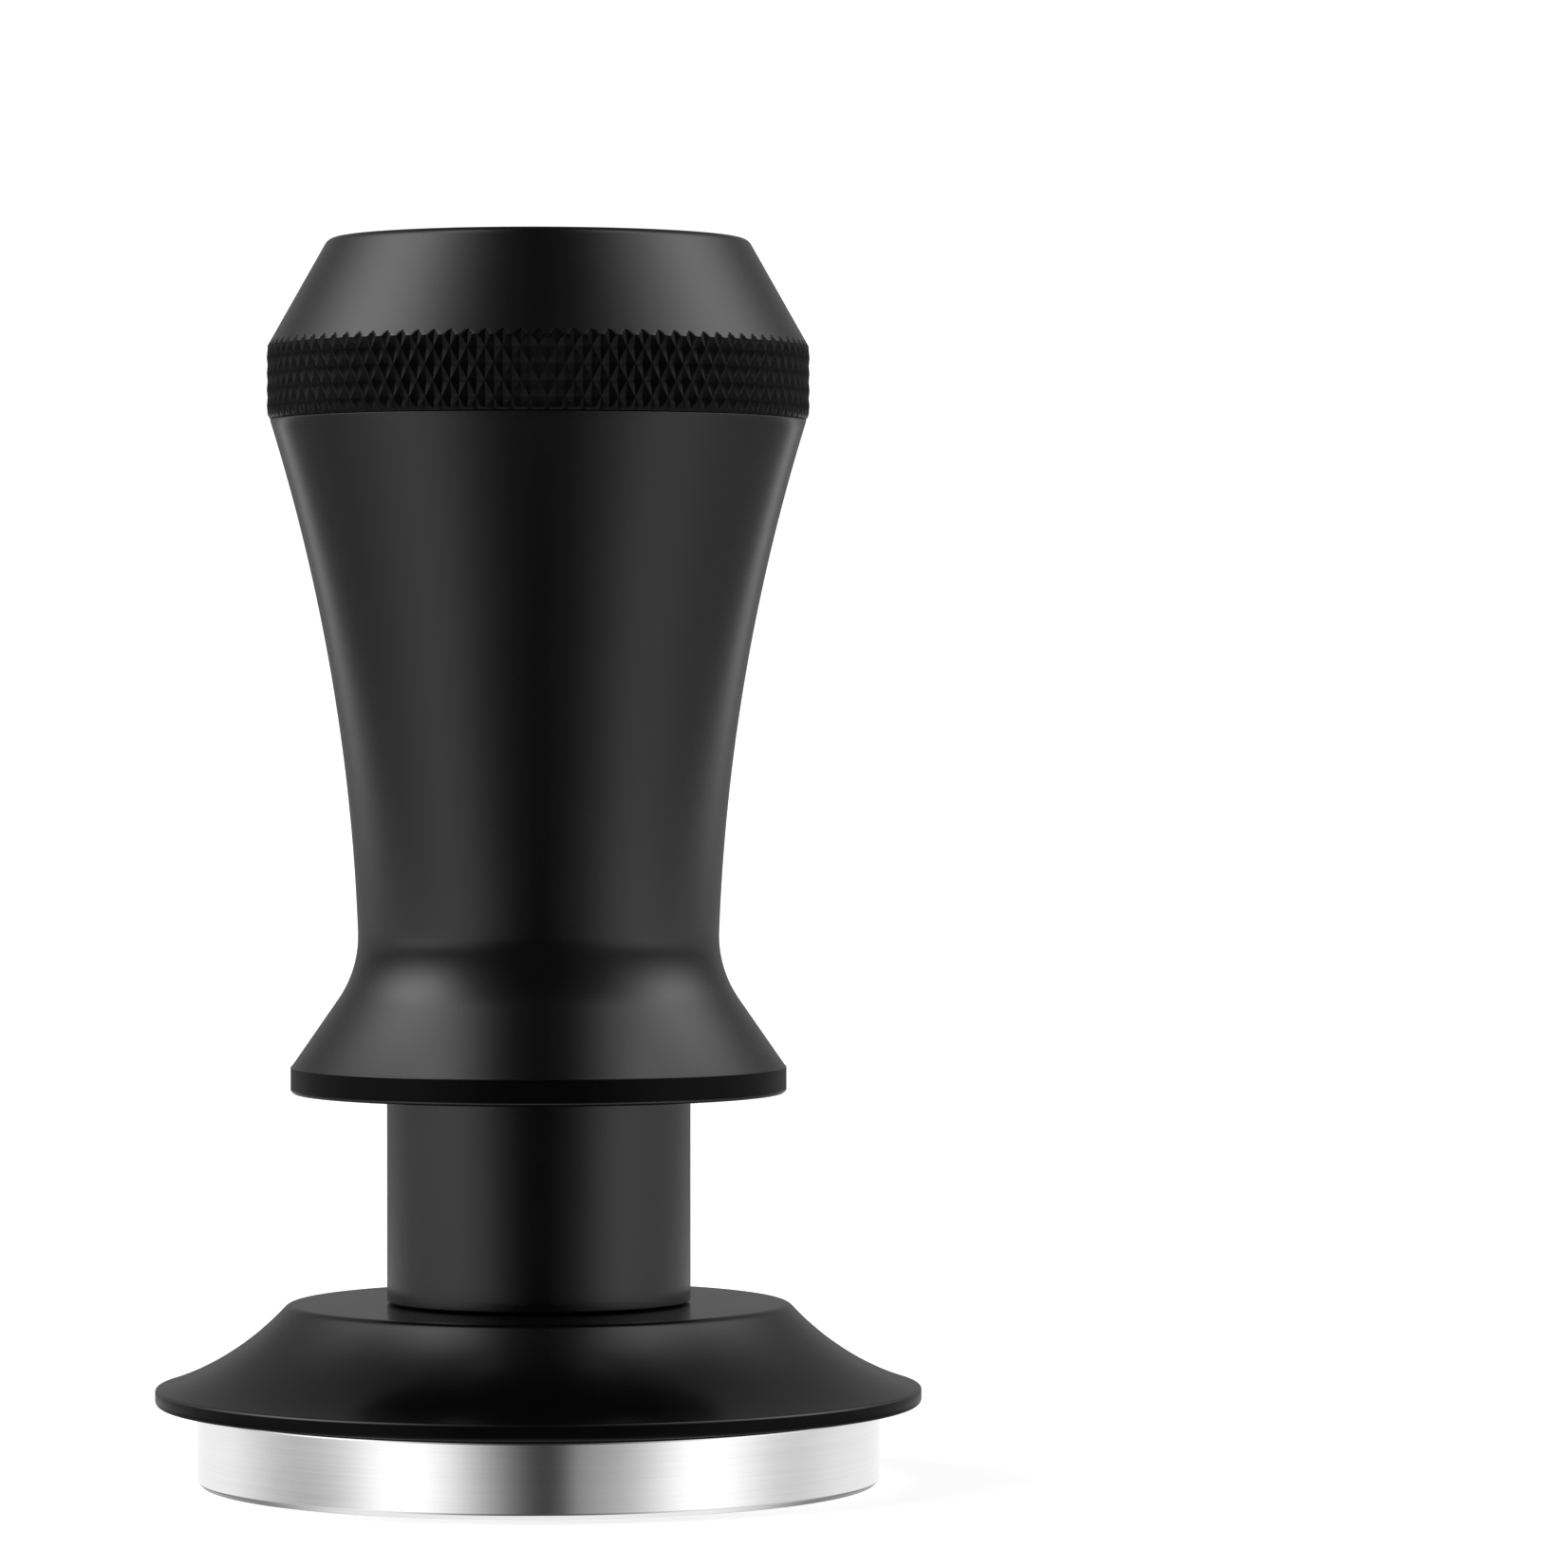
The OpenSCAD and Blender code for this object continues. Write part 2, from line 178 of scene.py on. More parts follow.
def revolve(name, profile, columns, material, closed=True, sharp=32):
    """Turns (r, z, kind) rows in millimetres, listed anticlockwise in the r-z plane, into a mesh."""
    angles = np.arange(columns) * TURN / columns
    points, starts = [], []
    for r, z, kind in profile:
        starts.append(starts[-1] + len(points[-1]) if points else 0)
        if r == 0:
            points.append(np.array([[0.0, 0.0, z]]))
            continue
        radii = radii_of(kind, r, z, angles)
        points.append(np.stack([radii * np.cos(angles), radii * np.sin(angles), np.full(columns, z)], 1))
    faces = []
    last = len(profile) if closed else len(profile) - 1
    for i in range(last):
        k = (i + 1) % len(profile)
        if len(points[i]) == 1:
            faces += fan(starts[i], starts[k], columns, False)
        elif len(points[k]) == 1:
            faces += fan(starts[k], starts[i], columns, True)
        elif profile[i][2] == profile[k][2] == "knurl":
            faces += ridge_triangles(starts[i], starts[k], columns, (profile[i][1] + profile[k][1]) / 2)
        else:
            faces += quads(starts[i], starts[k], columns)
    return finish_mesh(name, np.concatenate(points) * MM, faces, material, sharp)


def finish_mesh(name, vertices, faces, material, sharp):
    mesh = bpy.data.meshes.new(name)
    mesh.from_pydata(vertices.tolist(), [], faces)
    mesh.validate()
    mesh.shade_smooth()
    mesh.set_sharp_from_angle(angle=math.radians(sharp))
    obj = bpy.data.objects.new(name, mesh)
    bpy.context.scene.collection.objects.link(obj)
    mesh.materials.append(material)
    return obj


def coil(name, radius, wire, turns, low, high, material, around=40, section=14):
    """A compression spring of round wire with closed, ground ends, sizes in millimetres."""
    count = round(turns * around)
    t = np.arange(count + 1) / count
    ease = 0.9 / turns
    climb = np.clip((t - ease) / (1 - 2 * ease), 0, 1)
    climb = 0.1 * t + 0.9 * climb
    height = low + wire / 2 + climb * (high - low - wire)
    heading = TURN * turns * t
    b = np.arange(section) * TURN / section
    q = radius + wire / 2 * np.cos(b)[None, :]
    x, y = q * np.cos(heading)[:, None], q * np.sin(heading)[:, None]
    z = height[:, None] + wire / 2 * np.sin(b)[None, :]
    z = np.clip(z, low + wire * 0.12, high - wire * 0.12)
    vertices = np.stack([x, y, z], 2).reshape(-1, 3) * MM
    i, j = np.meshgrid(np.arange(count), np.arange(section), indexing="ij")
    k = (j + 1) % section
    faces = np.stack([i * section + j, i * section + k, (i + 1) * section + k, (i + 1) * section + j], -1)
    faces = faces.reshape(-1, 4).tolist()
    faces.append(list(range(section - 1, -1, -1)))
    faces.append([count * section + n for n in range(section)])
    return finish_mesh(name, vertices, faces, material, 50)


# ---------------------------------------------------------------- materials

class Nodes:
    """A small helper for node trees: add nodes, set sockets, link them."""

    def __init__(self, tree):
        self.tree = tree
        tree.nodes.clear()

    def add(self, kind, settings=None, **sockets):
        n = self.tree.nodes.new(kind)
        for key, value in (settings or {}).items():
            setattr(n, key, value)
        for key, value in sockets.items():
            self.put(n.inputs[key.replace("_", " ")], value)
        return n

    def put(self, socket, value):
        if isinstance(value, bpy.types.NodeSocket):
            self.tree.links.new(value, socket)
        else:
            socket.default_value = value

    def math(self, operation, *values):
        n = self.tree.nodes.new("ShaderNodeMath")
        n.operation = operation
        for socket, value in zip(n.inputs, values):
            self.put(socket, value)
        return n.outputs[0]

    def remap(self, value, low, high, to_low, to_high, smooth=False):
        n = self.add("ShaderNodeMapRange", {"interpolation_type": "SMOOTHSTEP" if smooth else "LINEAR"})
        for key, v in zip(("Value", "From Min", "From Max", "To Min", "To Max"),
                          (value, low, high, to_low, to_high)):
            self.put(n.inputs[key], v)
        return n.outputs["Result"]

    def noise(self, vector, scale, detail=2.0, roughness=0.5):
        n = self.add("ShaderNodeTexNoise", Vector=vector, Scale=scale, Detail=detail, Roughness=roughness)
        return n.outputs["Fac"]

    def turned(self, vector):
        """Radius, height and angle of a point, for marks that follow the lathe."""
        xyz = self.add("ShaderNodeSeparateXYZ", Vector=vector)
        x, y, z = xyz.outputs
        squares = self.math("ADD", self.math("MULTIPLY", x, x), self.math("MULTIPLY", y, y))
        return self.math("SQRT", squares), z, self.math("ARCTAN2", y, x)

    def combine(self, x, y, z):
        return self.add("ShaderNodeCombineXYZ", X=x, Y=y, Z=z).outputs[0]

    def ramp(self, value, stops, interpolation="LINEAR"):
        n = self.add("ShaderNodeValToRGB", Fac=value)
        n.color_ramp.interpolation = interpolation
        points = n.color_ramp.elements
        while len(points) < len(stops):
            points.new(0.5)
        for point, (position, colour) in zip(points, stops):
            point.position = position
            point.color = (*colour, 1) if isinstance(colour, tuple) else (colour, colour, colour, 1)
        return n.outputs["Color"]

    def bump(self, height, strength, distance, normal=None):
        n = self.add("ShaderNodeBump", Height=height, Strength=strength, Distance=distance)
        if normal is not None:
            self.put(n.inputs["Normal"], normal)
        return n.outputs["Normal"]


def new_material(name):
    m = bpy.data.materials.new(name)
    m.use_nodes = True
    g = Nodes(m.node_tree)
    out = g.add("ShaderNodeOutputMaterial")
    shader = g.add("ShaderNodeBsdfPrincipled")
    g.tree.links.new(shader.outputs[0], out.inputs[0])
    where = g.add("ShaderNodeTexCoord").outputs["Object"]
    return m, g, shader, where


def anodised(name, specular, rough):
    """Bead-blasted black anodising: a fine even grain, a little uneven in gloss and depth of dye."""
    m, g, s, where = new_material(name)
    grain = g.noise(where, 9000, 3, 0.65)
    patches = g.noise(where, 160, 3, 0.6)
    drift = g.noise(where, 28, 2, 0.5)
    black, dyed = (0.0011, 0.0011, 0.0012), (0.0019, 0.0018, 0.0018)
    g.put(s.inputs["Base Color"], g.ramp(patches, [(0.3, black), (0.75, dyed)]))
    uneven = g.math("MULTIPLY", g.math("ADD", patches, drift), 0.04)
    g.put(s.inputs["Roughness"], g.math("ADD", uneven, g.remap(grain, 0.25, 0.75, rough - 0.06, rough)))
    s.inputs["Specular IOR Level"].default_value = specular
    g.put(s.inputs["Normal"], g.bump(grain, 0.16, 0.00002))
    return m


def turned_steel(name, colour, rough, lines, around=1.5, stretch=0.3, relief=0.02):
    """Stainless steel off the lathe: fine rings that run round the axis, and the odd deeper mark."""
    m, g, s, where = new_material(name)
    radius, z, angle = g.turned(where)
    swirl = g.combine(g.math("MULTIPLY", radius, lines), g.math("MULTIPLY", z, lines),
                      g.math("MULTIPLY", angle, around))
    fine = g.noise(swirl, 1.0, 3, 0.6)
    coarse = g.noise(g.combine(g.math("MULTIPLY", radius, lines * 0.13), g.math("MULTIPLY", z, lines * 0.13),
                               g.math("MULTIPLY", angle, 0.6)), 1.0, 2, 0.5)
    smudge = g.noise(where, 70, 3, 0.6)
    dark, pale = tuple(c * 0.93 for c in colour), colour
    marks = g.math("ADD", g.math("MULTIPLY", fine, 0.6), g.math("MULTIPLY", coarse, 0.4))
    g.put(s.inputs["Base Color"], g.ramp(marks, [(0.3, dark), (0.65, pale)]))
    s.inputs["Metallic"].default_value = 1.0
    g.put(s.inputs["Roughness"], g.math("ADD", g.remap(smudge, 0.3, 0.75, rough * 0.8, rough * 1.25),
                                        g.math("MULTIPLY", fine, rough * 0.3)))
    s.inputs["Anisotropic"].default_value = stretch
    s.inputs["Anisotropic Rotation"].default_value = 0.25
    tangent = g.add("ShaderNodeTangent", {"direction_type": "RADIAL", "axis": "Z"})
    g.put(s.inputs["Tangent"], tangent.outputs[0])
    g.put(s.inputs["Normal"], g.bump(fine, relief, 0.00001))
    return m


def wire_steel(name):
    """Drawn spring wire: bright, with faint drawing lines and a trace of oil."""
    m, g, s, where = new_material(name)
    drawn = g.noise(where, 2500, 3, 0.7)
    oil = g.noise(where, 120, 3, 0.55)
    g.put(s.inputs["Base Color"], g.ramp(oil, [(0.3, (0.46, 0.46, 0.48)), (0.7, (0.62, 0.61, 0.6))]))
    s.inputs["Metallic"].default_value = 1.0
    g.put(s.inputs["Roughness"], g.remap(oil, 0.3, 0.7, 0.18, 0.34))
    g.put(s.inputs["Normal"], g.bump(drawn, 0.2, 0.00003))
    return m


def acetal(name):
    """Machined natural acetal: creamy, slightly see-through, with faint tool rings."""
    m, g, s, where = new_material(name)
    radius, z, angle = g.turned(where)
    lathe = g.combine(g.math("MULTIPLY", radius, 9000), g.math("MULTIPLY", z, 9000), angle)
    rings = g.noise(lathe, 1.0, 2, 0.5)
    cloud = g.noise(where, 200, 2, 0.5)
    g.put(s.inputs["Base Color"], g.ramp(cloud, [(0.3, (0.72, 0.7, 0.63)), (0.7, (0.8, 0.79, 0.73))]))
    g.put(s.inputs["Roughness"], g.remap(rings, 0.3, 0.7, 0.38, 0.52))
    s.inputs["Subsurface Weight"].default_value = 0.15
    s.inputs["Subsurface Radius"].default_value = (0.001, 0.001, 0.001)
    g.put(s.inputs["Normal"], g.bump(rings, 0.15, 0.00002))
    return m


def bronze(name):
    """Oil-filled bearing bronze: granular, brown-gold, dull."""
    m, g, s, where = new_material(name)
    grit = g.noise(where, 5000, 4, 0.7)
    stain = g.noise(where, 260, 3, 0.6)
    g.put(s.inputs["Base Color"], g.ramp(stain, [(0.3, (0.33, 0.2, 0.08)), (0.7, (0.56, 0.38, 0.17))]))
    s.inputs["Metallic"].default_value = 1.0
    g.put(s.inputs["Roughness"], g.remap(grit, 0.3, 0.7, 0.3, 0.5))
    g.put(s.inputs["Normal"], g.bump(grit, 0.3, 0.00003))
    return m


def rubber(name):
    """Nitrile rubber: near black, matt, with a dusty bloom."""
    m, g, s, where = new_material(name)
    bloom = g.noise(where, 300, 4, 0.6)
    pores = g.noise(where, 6000, 2, 0.5)
    g.put(s.inputs["Base Color"], g.ramp(bloom, [(0.35, (0.012, 0.012, 0.012)),
                                                 (0.75, (0.03, 0.03, 0.032))]))
    g.put(s.inputs["Roughness"], g.remap(bloom, 0.3, 0.7, 0.55, 0.75))
    g.put(s.inputs["Normal"], g.bump(pores, 0.25, 0.00004))
    return m


# ---------------------------------------------------------------- profiles

def base_profile():
    recess = CREST_R - RIPPLE_PITCH / 2
    sunk = [(0, RIPPLE_DEPTH)] + [(recess * k, RIPPLE_DEPTH) for k in (0.35, 0.7, 0.92)]
    steps = 12
    waves = []
    for i in range(-steps // 2, RIPPLES * steps + 1):
        lift = 0.5 - 0.5 * math.cos(TURN * i / steps)
        waves.append((CREST_R + RIPPLE_PITCH * i / steps, RIPPLE_DEPTH * lift ** 0.9))
    side = softened([
        (waves[-1][0] + 0.3, 0), (BASE_R - BASE_CHAMFER, 0, 0.12), (BASE_R, BASE_CHAMFER, 0.12),
        (BASE_R, WALL_TOP, 0.05), (BASE_R - NECK, WALL_TOP + NECK, 0.05),
        (BASE_R - NECK, BASE_H - NECK, 0.05), (BASE_R - 2 * NECK, BASE_H, 0.1), (HUB_R, BASE_H, 0.2),
        (HUB_R, HUB_TOP, 0.3), (ROD_R + 0.02, HUB_TOP, 0.1), (ROD_R + 0.02, ROD_FOOT, 0.05),
        (STUD_R, ROD_FOOT, 0.05), (STUD_R, STUD_FOOT, 0.05), (0, STUD_FOOT)], 4)
    return rows(sunk + waves + side)


def flare_centre():
    return DISC_TOP_R + math.sqrt(FLARE_R ** 2 - FLARE_RISE ** 2), DISC_TOP + FLARE_RISE


def disc_profile():
    centre = flare_centre()
    inner = math.asin((FLARE_RISE + DISC_EDGE) / (FLARE_R + DISC_EDGE)) - math.pi
    edge_centre = (centre[0] + (FLARE_R + DISC_EDGE) * math.cos(inner), DISC_TOP - DISC_EDGE)
    nose_r, reach = DISC_R - RIM_NOSE, FLARE_R + RIM_NOSE
    nose_z = centre[1] - math.sqrt(reach ** 2 - (centre[0] - nose_r) ** 2)
    lean = math.atan2(centre[1] - nose_z, centre[0] - nose_r)
    flare = arc(centre, FLARE_R, lean - math.pi, inner, 56)
    edge = arc(edge_centre, DISC_EDGE, inner + math.pi, math.pi / 2, 12)
    inside = softened([
        (SLEEVE_R - 1, DISC_TOP), (SPIGOT_R, DISC_TOP, 0.1), (SPIGOT_R, SPIGOT_TOP, 0.35),
        (BUSH_R, SPIGOT_TOP, 0.15), (BUSH_R, HUB_ROOM_Z, 0.1), (HUB_ROOM_R, HUB_ROOM_Z, 0.3),
        (HUB_ROOM_R, POCKET_Z, 0.2), (POCKET_R, POCKET_Z, 0.3), (POCKET_R, RIM_Z, 0.15),
        (DISC_R - RIM_EDGE, RIM_Z)], 4)
    return rows(arc((DISC_R - RIM_EDGE, RIM_Z + RIM_EDGE), RIM_EDGE, -math.pi / 2, 0, 7)
                + arc((nose_r, nose_z), RIM_NOSE, 0, lean, 8)
                + flare[1:] + edge[1:] + inside[1:-1])


def sleeve_profile():
    return rows(softened([
        (SLEEVE_IN + 0.8, DISC_TOP), (SLEEVE_R - SLEEVE_UNDERCUT, DISC_TOP, 0.05),
        (SLEEVE_R, DISC_TOP + SLEEVE_UNDERCUT, 0.06),
        (SLEEVE_R, SLEEVE_TOP, 0.4), (SLEEVE_IN, SLEEVE_TOP, 0.4), (SLEEVE_IN, DISC_TOP, 0.15),
        (SLEEVE_IN + 0.8, DISC_TOP)], 6)[:-1])


def handle_outline():
    """The outside of the handle from the flange's underside to its mouth."""
    flank = (WAIST_R + FLANK_R, WAIST_Z)
    lean = math.asin((BLEND_Z - WAIST_Z) / FLANK_R)
    blend = (flank[0] - (FLANK_R - BLEND_R) * math.cos(lean),
             flank[1] + (FLANK_R - BLEND_R) * math.sin(lean))
    foot = (FLANGE_R - 0.15, HANDLE_Z + FLANGE_RIM + 0.15)
    reach = (blend[0] - foot[0], blend[1] - foot[1])
    tilt = math.asin(BLEND_R / math.hypot(*reach)) - math.atan2(*reach)
    top = math.asin((FLANK_TOP - WAIST_Z) / FLANK_R)
    start = softened([(FLANGE_R - 2, HANDLE_Z), (FLANGE_R, HANDLE_Z, 0.35),
                      (FLANGE_R, HANDLE_Z + FLANGE_RIM, 0.14),
                      foot, (foot[0] - 1, foot[1] + 1 / math.tan(tilt))], 7)
    crown = softened([(FLANGE_R, FLANK_TOP - 1), (flank[0] - FLANK_R * math.cos(top), FLANK_TOP),
                      (flank[0] - FLANK_R * math.cos(top) + 0.03, HANDLE_TOP, 0.12),
                      (MOUTH_R + 1, HANDLE_TOP)], 6)
    return (start[1:-1] + arc(blend, BLEND_R, math.pi + tilt, math.pi - lean, 26)
            + arc(flank, FLANK_R, math.pi - lean, math.pi - top, 60)[1:-1] + crown[1:])


def handle_profile():
    climb = levels(THREAD_FOOT + 0.15, THREAD_TOP - 0.75, THREAD_PITCH / 10)
    thread = [(MALE_CREST, z) for z in reversed(climb)]
    mouth = softened([(MOUTH_R + 1, HANDLE_TOP), (MOUTH_R, HANDLE_TOP, 0.2), (MOUTH_R, THREAD_TOP, 0.15),
                      (MALE_CREST + THREAD_GAP, THREAD_TOP - 0.4),
                      (MALE_CREST + THREAD_GAP, THREAD_TOP - 0.6)], 4)
    inside = softened([
        (MALE_CREST + THREAD_GAP, THREAD_FOOT + 0.1), (MALE_CREST + THREAD_GAP, THREAD_FOOT, 0.05),
        (CHAMBER_R, THREAD_FOOT, 0.3), (CHAMBER_R, WEB_TOP, 0.3), (WEB_BORE, WEB_TOP, 0.2),
        (WEB_BORE, WEB_Z, 0.2), (LOWER_BORE, WEB_Z, 0.3), (LOWER_BORE, GUIDE_TOP, 0.1),
        (GUIDE_R, GUIDE_TOP, 0.1), (GUIDE_R, GUIDE_Z, 0.1), (LOWER_BORE, GUIDE_Z, 0.1),
        (LOWER_BORE, HANDLE_Z, 0.35), (FLANGE_R - 2, HANDLE_Z)], 4)
    return rows(handle_outline()) + rows(mouth[1:]) + rows(thread, "female") + rows(inside[:-1])


def cone_radius(z):
    """The cap's cone above the knurled band."""
    foot, tip = (KNURL_R, KNURL_TOP), (CAP_TOP_R, CAP_TOP)
    return foot[0] + (tip[0] - foot[0]) * (z - foot[1]) / (tip[1] - foot[1])


def cap_profile():
    row = KNURL_ROW / KNURL_STEPS
    band = [KNURL_ZERO + row * k for k in range(-14, 3)]
    foot = [(KNURL_R - KNURL_FOOT, CAP_Z), (KNURL_R - KNURL_FOOT / 2, CAP_Z + KNURL_FOOT_H * 0.4)]
    runout = levels(KNURL_TOP, KNURL_TOP + 0.7, 0.07)
    knurl = foot + [(KNURL_R, z) for z in band] + [(cone_radius(z), z) for z in runout]
    thread = [(MALE_ROOT, z) for z in levels(SPIGOT_FOOT + 0.4, O_GROOVE_LOW - 0.3, THREAD_PITCH / 10)]
    spigot = softened([(CAP_BORE + 1, SPIGOT_FOOT), (MALE_ROOT, SPIGOT_FOOT, 0.25),
                       (MALE_ROOT, SPIGOT_FOOT + 0.35)], 4)
    neck = softened([
        (MALE_ROOT, O_GROOVE_LOW - 0.25), (MALE_CREST - 0.25, O_GROOVE_LOW - 0.15),
        (MALE_CREST - 0.25, O_GROOVE_LOW, 0.08), (O_GROOVE_R, O_GROOVE_LOW, 0.12),
        (O_GROOVE_R, O_GROOVE_HIGH, 0.12), (CAP_NECK_R, O_GROOVE_HIGH, 0.02), (CAP_NECK_R, CAP_Z, 0.02),
        (KNURL_R - 0.6, CAP_Z)], 4)
    crown = softened([
        (cone_radius(KNURL_TOP + 0.77), KNURL_TOP + 0.77), (CAP_TOP_R, CAP_TOP, CAP_EDGE),
        (CAP_TOP_R - 2, CAP_TOP, 1.0), (CAP_TOP_R - 5.0, CAP_TOP - CAP_DISH, 6.0),
        (0, CAP_TOP - CAP_DISH)], 8)
    inside = softened([(0, CAP_CEILING), (CAP_BORE, CAP_CEILING, 0.4), (CAP_BORE, SPIGOT_FOOT, 0.3),
                       (CAP_BORE + 1, SPIGOT_FOOT)], 4)
    under = (KNURL_R - KNURL_DEPTH - 0.05, CAP_Z)
    return (rows(spigot[1:]) + rows(thread, "male") + rows(neck[:-1]) + rows([under])
            + rows(knurl, "knurl") + rows(crown) + rows(inside[:-1]))


# ---------------------------------------------------------------- pieces

def place(piece, body, node):
    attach(piece, body)
    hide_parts(node)


def paint(material, *names):
    """A CAD node that stays as it is gets its finish."""
    for name in names:
        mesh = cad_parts[name].data
        mesh.materials.clear()
        mesh.materials.append(material)
        mesh.shade_smooth()
        mesh.set_sharp_from_angle(angle=math.radians(28))


def second_finish(piece, material, test):
    """Gives the faces whose middle passes test(radius, z) the piece's second material, sizes in mm."""
    piece.data.materials.append(material)
    for face in piece.data.polygons:
        x, y, z = face.center / MM
        if test(math.hypot(x, y), z):
            face.material_index = 1


def in_knurl(r, z):
    return z > CAP_Z and r > KNURL_R - 1 and (z < KNURL_TOP or r < cone_radius(z) - 0.01)


def build_black_parts():
    satin = anodised("black_anodised", 0.5, 0.2)
    rim = anodised("black_anodised_rim", 0.06, 0.3)
    disc = revolve("collar_disc", disc_profile(), 384, satin)
    second_finish(disc, rim, lambda r, z: r > DISC_R - 0.45 and z < RIM_Z + RIM_T - 0.22)
    place(disc, "collar", "leveler_disc")
    sleeve = revolve("collar_sleeve", sleeve_profile(), 288, satin)
    place(sleeve, "collar", "leveler_sleeve")
    handle = revolve("handle", handle_profile(), 384, satin)
    second_finish(handle, rim, lambda r, z: r > FLANGE_R - 0.01 and z < HANDLE_Z + FLANGE_RIM - 0.05)
    place(handle, "handle", "handle_body")
    cap = revolve("knurled_cap", cap_profile(), KNURL_TEETH * 2 * KNURL_STEPS, satin, closed=False, sharp=24)
    second_finish(cap, anodised("black_anodised_knurl", 0.1, 0.26), in_knurl)
    place(cap, "cap", "top_cap")


def build_base():
    steel = turned_steel("turned_steel", (0.86, 0.86, 0.86), 0.06, 5200)
    base = revolve("tamping_face_base", base_profile(), 320, steel, closed=False)
    second_finish(base, turned_steel("rippled_steel", (0.84, 0.84, 0.84), 0.2, 5200, 1.5, 0.8, 0.1),
                  lambda r, z: z < RIPPLE_DEPTH + 0.01 and r < BASE_R - 0.5)
    place(base, "base", "tamping_base")


def build_springs():
    wire = wire_steel("spring_wire")
    main = coil("calibrated_spring", MAIN_R, MAIN_WIRE, SPRING_TURNS, MAIN_FOOT, MAIN_TOP, wire)
    place(main, "base", "main_spring")
    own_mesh(main)
    light = coil("collar_spring", LIGHT_R, LIGHT_WIRE, SPRING_TURNS, LIGHT_FOOT, LIGHT_TOP, wire)
    place(light, "base", "leveler_spring")
    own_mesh(light)


def paint_inner_parts():
    paint(turned_steel("rod_steel", (0.7, 0.7, 0.71), 0.14, 9000, 3.0, 0.3),
          "centre_rod", "piston_head", "upper_spring_seat")
    paint(turned_steel("fastener_steel", (0.56, 0.56, 0.58), 0.26, 4000, 1.0, 0.2),
          "base_stud", "base_washer", "retaining_rings", "head_washer", "head_screw")
    paint(acetal("guide_polymer"), "guide_collar", "leveler_bush", "web_bush", "sleeve_guide_ring")
    paint(bronze("bearing_bronze"), "thrust_washer", "stop_washer")
    paint(rubber("seal_rubber"), "rest_cushion", "cap_o_ring")


# ---------------------------------------------------------------- studio

CAMERA_DISTANCE, EYE_HEIGHT, LENS = 0.565, 0.0625, 166.1
AIM = (0.01916, 0.0, 0.0545)
WHITE = 1.2
FLOOR = 0.95
# Softbox levels by direction, as (degrees round from the front, level), for several heights.
# FOOT is the strip 6 to 8 degrees below the horizon, which the base's steel wall mirrors. EYE is the dim
# strip about 5 degrees above it, which the disc's flat top mirrors.
DOWN = [(-180, 0.5), (-165, 0.4), (-150, 0.18), (-121, 0.22), (-97, 0.36), (-77, 0.74), (-58, 1.12),
        (-40, 0.62), (-24, 0.2), (-7, 0.04), (9, 0.04), (26, 0.2), (43, 0.62), (60, 1.02), (79, 0.72),
        (100, 0.4), (126, 0.22), (150, 0.18), (165, 0.4), (180, 0.5)]
FOOT = [(-180, 1.0), (-155, 0.95), (-125, 1.0), (-107, 0.7), (-92, 0.47), (-79, 0.43), (-67, 0.68),
        (-56, 1.15), (-46, 1.36), (-36, 1.22), (-26, 0.8), (-17, 0.42), (-8, 0.14), (1, 0.0), (8, 0.08),
        (13, 0.3), (21, 0.42), (31, 0.56), (41, 0.92), (51, 1.28), (62, 1.3), (73, 1.04), (85, 0.7),
        (99, 0.66), (116, 0.9), (137, 0.92), (180, 1.0)]
LOW = [(-180, 0.14), (-145, 0.22), (-109, 0.55), (-86, 1.28), (-66, 1.44), (-47, 0.84), (-31, 0.2),
       (-15, 0.0), (0, 0.0), (17, 0.0), (33, 0.22), (50, 0.84), (68, 1.32), (88, 1.08), (113, 0.52),
       (150, 0.22), (180, 0.14)]
EYE = [(-180, 0.21), (-150, 0.22), (-118, 0.26), (-92, 0.33), (-66, 0.33), (-45, 0.22), (-20, 0.02),
       (20, 0.02), (45, 0.26), (68, 0.38), (92, 0.4), (118, 0.3), (150, 0.22), (180, 0.21)]
HIGH = [(-180, 0.12), (-155, 0.14), (-138, 0.32), (-120, 1.25), (-104, 2.9), (-88, 3.7), (-73, 3.0),
        (-59, 1.3), (-45, 0.38), (-25, 0.06), (0, 0.0), (22, 0.04), (42, 0.22), (58, 0.66), (76, 1.8),
        (92, 2.9), (106, 2.7), (122, 1.35), (138, 0.35), (155, 0.16), (180, 0.12)]
TOP = [(-180, 0.05), (-140, 0.1), (-121, 0.35), (-107, 1.4), (-91, 2.4), (-76, 2.1), (-59, 1.0),
       (-40, 0.25), (-20, 0.06), (0, 0.03), (20, 0.06), (40, 0.22), (59, 0.8), (76, 1.6), (91, 2.0),
       (107, 1.4), (121, 0.5), (140, 0.1), (180, 0.05)]
OVERHEAD = 0.03


def ring_of(g, along, ring):
    """A ramp of light levels round the compass; along is 0 to 1, with the front at one half."""
    peak = max(level for _, level in ring)
    stops = [(heading / 360 + 0.5, level / peak) for heading, level in ring]
    return g.math("MULTIPLY", g.ramp(along, stops, "B_SPLINE"), peak)


def compass(g, x, y):
    return g.math("ADD", g.math("DIVIDE", g.math("ARCTAN2", x, g.math("MULTIPLY", y, -1.0)), TURN), 0.5)


def blend(g, share, first, second):
    return g.math("ADD", first, g.math("MULTIPLY", share, g.math("SUBTRACT", second, first)))


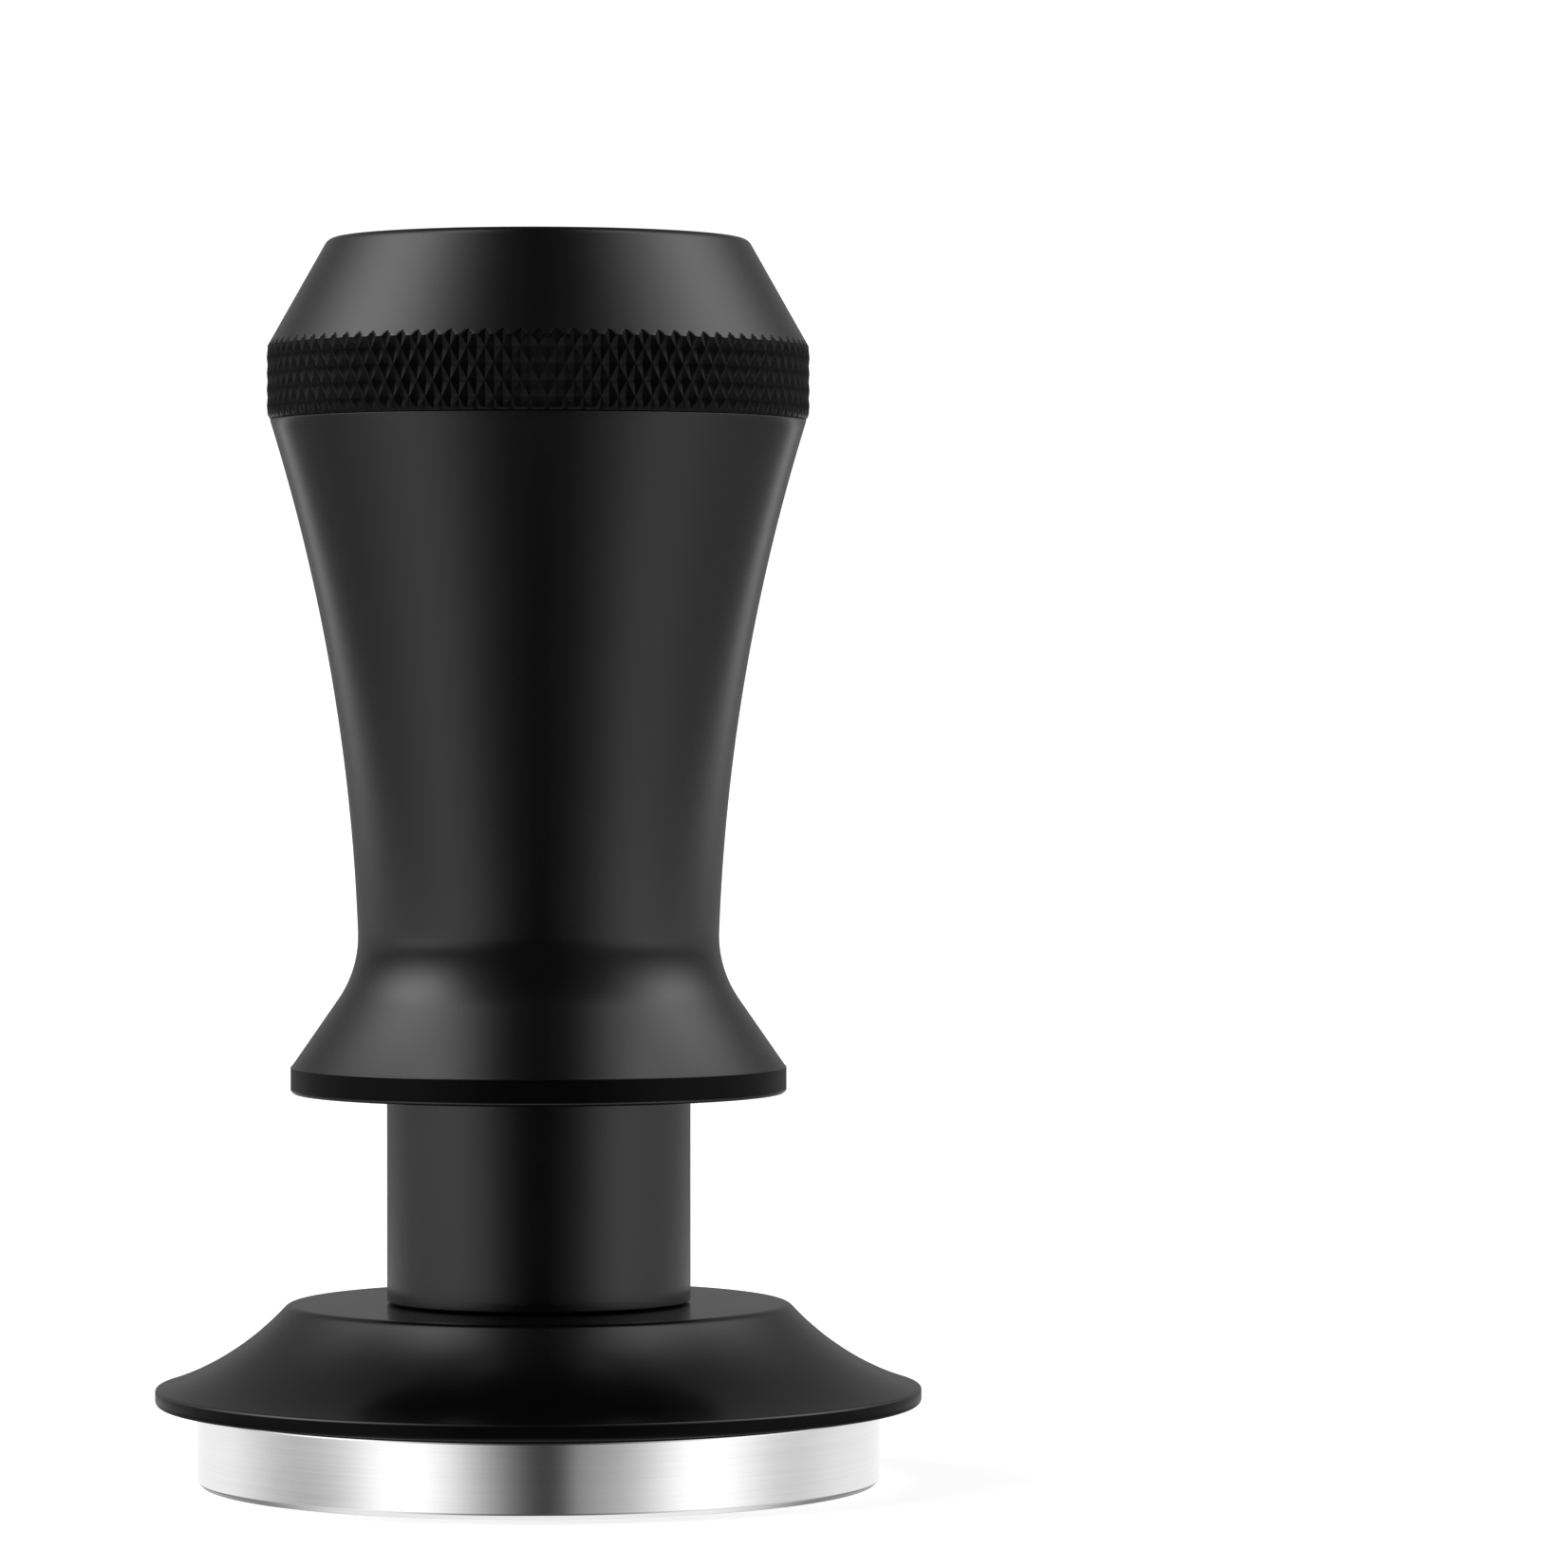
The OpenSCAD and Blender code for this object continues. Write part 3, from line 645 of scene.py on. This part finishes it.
def build_world():
    """A studio that looks plain white to the camera and lights the object with tall softboxes."""
    world = bpy.data.worlds.new("studio")
    bpy.context.scene.world = world
    world.use_nodes = True
    g = Nodes(world.node_tree)
    x, y, z = g.add("ShaderNodeSeparateXYZ", Vector=g.add("ShaderNodeTexCoord").outputs["Generated"]).outputs
    around = compass(g, x, y)
    climb = g.math("ARCSINE", z)
    level = FLOOR
    for ring, start, end in ((DOWN, -60, -35), (FOOT, -8.6, -7.6), (LOW, -5.6, -5.2), (EYE, 2, 4.6),
                             (HIGH, 6.5, 35), (TOP, 38, 58)):
        share = g.remap(climb, math.radians(start), math.radians(end), 0.0, 1.0, True)
        level = blend(g, share, level, ring_of(g, around, ring))
    top = g.remap(climb, math.radians(62), math.radians(86), 1.0, 0.0, True)
    level = g.math("ADD", g.math("MULTIPLY", level, top), OVERHEAD)
    lit = g.add("ShaderNodeBackground", Color=(1, 1, 1, 1), Strength=level)
    plain = g.add("ShaderNodeBackground", Color=(1, 1, 1, 1), Strength=WHITE)
    mix = g.add("ShaderNodeMixShader")
    g.put(mix.inputs[0], g.add("ShaderNodeLightPath").outputs["Is Camera Ray"])
    g.put(mix.inputs[1], lit.outputs[0])
    g.put(mix.inputs[2], plain.outputs[0])
    out = g.add("ShaderNodeOutputWorld")
    g.put(out.inputs[0], mix.outputs[0])


def build_floor():
    m, g, s, where = new_material("studio_floor")
    shade = g.noise(where, 3, 2, 0.5)
    g.put(s.inputs["Base Color"], g.ramp(shade, [(0.3, (0.9, 0.9, 0.9)), (0.7, (0.94, 0.94, 0.94))]))
    s.inputs["Roughness"].default_value = 0.8
    s.inputs["Specular IOR Level"].default_value = 0.1
    s.inputs["Emission Color"].default_value = (1, 1, 1, 1)
    s.inputs["Emission Strength"].default_value = 0.6
    mesh = bpy.data.meshes.new("floor")
    half, drop = 8.0, -0.00004
    corners = [(-half, -half, drop), (half, -half, drop), (half, half, drop), (-half, half, drop)]
    mesh.from_pydata(corners, [], [(0, 1, 2, 3)])
    mesh.materials.append(m)
    floor = bpy.data.objects.new("floor", mesh)
    floor.visible_glossy = False
    bpy.context.scene.collection.objects.link(floor)


def build_camera():
    data = bpy.data.cameras.new("camera")
    data.lens, data.sensor_width, data.clip_start, data.clip_end = LENS, 36, 0.01, 50
    camera = bpy.data.objects.new("camera", data)
    camera.location = (0, -CAMERA_DISTANCE, EYE_HEIGHT)
    look = Vector(AIM) - camera.location
    camera.rotation_euler = look.to_track_quat("-Z", "Y").to_euler()
    bpy.context.scene.collection.objects.link(camera)
    bpy.context.scene.camera = camera
    bpy.context.scene.view_settings.view_transform = "Standard"
    bpy.context.scene.view_settings.look = "None"


build_camera()
build_world()
build_floor()
build_base()
build_black_parts()
build_springs()
paint_inner_parts()
